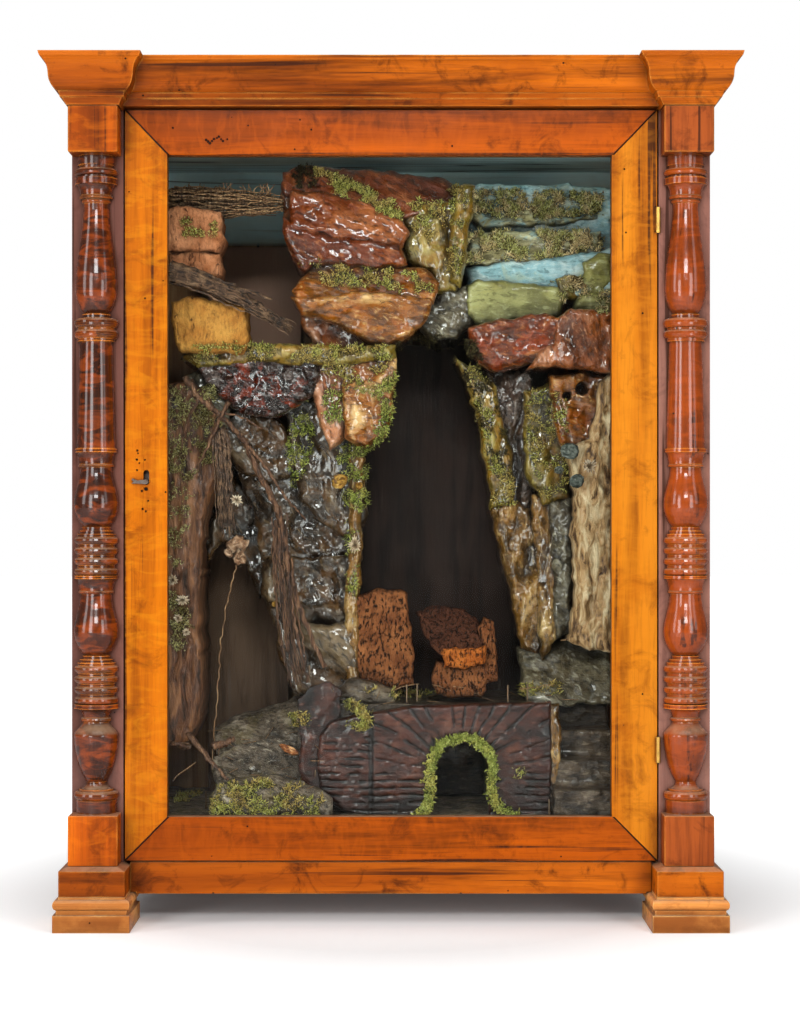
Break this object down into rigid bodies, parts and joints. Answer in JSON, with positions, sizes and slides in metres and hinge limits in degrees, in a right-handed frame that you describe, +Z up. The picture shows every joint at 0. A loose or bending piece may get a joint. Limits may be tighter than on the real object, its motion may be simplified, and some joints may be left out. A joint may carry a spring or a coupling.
{
  "type": "nativity display box",
  "caption": "Free-standing glazed wooden display box with turned half columns, a broken cornice, a hinged door with a lock, and a cork, moss and rock landscape inside.",
  "frame": {"origin": "on the floor, under the middle of the box that encloses the object", "axes": "+Z up, -Y towards the viewer in front of the door, +X to the viewer's right"},
  "size_m": [0.671, 0.353, 0.84],
  "materials": {
    "fruitwood": "polished honey fruitwood with dark streaks, worn",
    "door_wood": "polished honey fruitwood, worn, with old wormholes",
    "column_wood": "glossy dark red-brown turned wood",
    "board_wood": "dark stained wood",
    "case_wood": "stained wood, waxed",
    "raw_wood": "raw softwood",
    "sky_board": "thin blue distemper on boards",
    "glass": "old thin window glass",
    "brass": "aged",
    "iron": "dull, lightly rusted",
    "steel": "worn",
    "ground_paint": "sized and painted paper, grey-olive",
    "arch_paint": "grooved wood, red-brown glaze",
    "dark_board": "dark brown glazed board",
    "cork": "cork bark, dry",
    "rock_red": "glazed painted paper, red-brown",
    "rock_ochre": "glazed painted paper, ochre",
    "rock_olive": "glazed painted paper, olive",
    "rock_dark": "glazed painted paper, dark grey-brown",
    "rock_pale": "painted paper, pale blue-green",
    "rock_moss": "dried moss on painted paper",
    "twig": "dry twigs and bark"
  },
  "bodies": {
    "case": {"foot_left": "fruitwood", "foot_right": "fruitwood", "plinth_left": "fruitwood", "plinth_right": "fruitwood", "bottom_rail": "fruitwood", "base_side_rails": "case_wood", "rear_feet": "case_wood", "side_panel_left": "case_wood", "side_panel_right": "case_wood", "top_board": "sky_board", "floor_board": "case_wood", "back_panel": "raw_wood", "front_board_left": "board_wood", "front_board_right": "board_wood", "pedestal_left": "fruitwood", "pedestal_right": "fruitwood", "column_left": "column_wood", "column_right": "column_wood", "capital_left": "fruitwood", "capital_right": "fruitwood", "cornice_left": "fruitwood", "cornice_right": "fruitwood", "cornice_centre": "fruitwood", "cornice_side_left": "fruitwood", "cornice_side_right": "fruitwood", "hinge_case_leaves": "brass", "case_screws": "brass", "hinge_pins": "brass", "strike_plate": "brass", "ground": "ground_paint", "arch_block": "arch_paint", "stage": "ground_paint", "stone_steps": "ground_paint", "cave_back": "dark_board", "recess_boards": "dark_board", "mounds": "ground_paint", "left_crags": "rock_dark", "ledge_rocks": "rock_red", "cork_blocks": "cork", "ochre_rock": "rock_ochre", "red_rock": "rock_red", "olive_rocks": "rock_olive", "right_rocks": "rock_red", "draped_rocks": "rock_pale", "mossy_ledges": "rock_moss", "right_crags": "rock_ochre", "stage_corks": "cork", "twigs": "twig", "figure_pegs": "iron"},
    "door": {"door_lock_stile": "door_wood", "door_hinge_stile": "door_wood", "door_top_rail": "door_wood", "door_bottom_rail": "door_wood", "glass_pane": "glass", "glazing_beads": "raw_wood", "hinge_door_leaves": "brass", "door_screws": "brass", "lock_case": "iron"},
    "bolt": {"lock_bolt": "steel"},
    "key": {"key_stub": "iron"}
  },
  "joints": [
    {"name": "door_hinge", "type": "hinge", "parent": "case", "child": "door", "pos_m": [0.25975, -0.126, 0.4285], "axis": [0, 0, 1], "range_deg": [0, 95]},
    {"name": "bolt_slide", "type": "slide", "parent": "door", "child": "bolt", "axis": [-1, 0, 0], "range_m": [0, 0.006]},
    {"name": "key_turn", "type": "hinge", "parent": "door", "child": "key", "pos_m": [-0.2382, -0.126, 0.4316], "axis": [0, -1, 0], "range_deg": [0, 50]}
  ],
  "couplings": [
    {"joint": "bolt_slide", "follows": "key_turn", "m_per_rad": 0.006875}
  ]
}
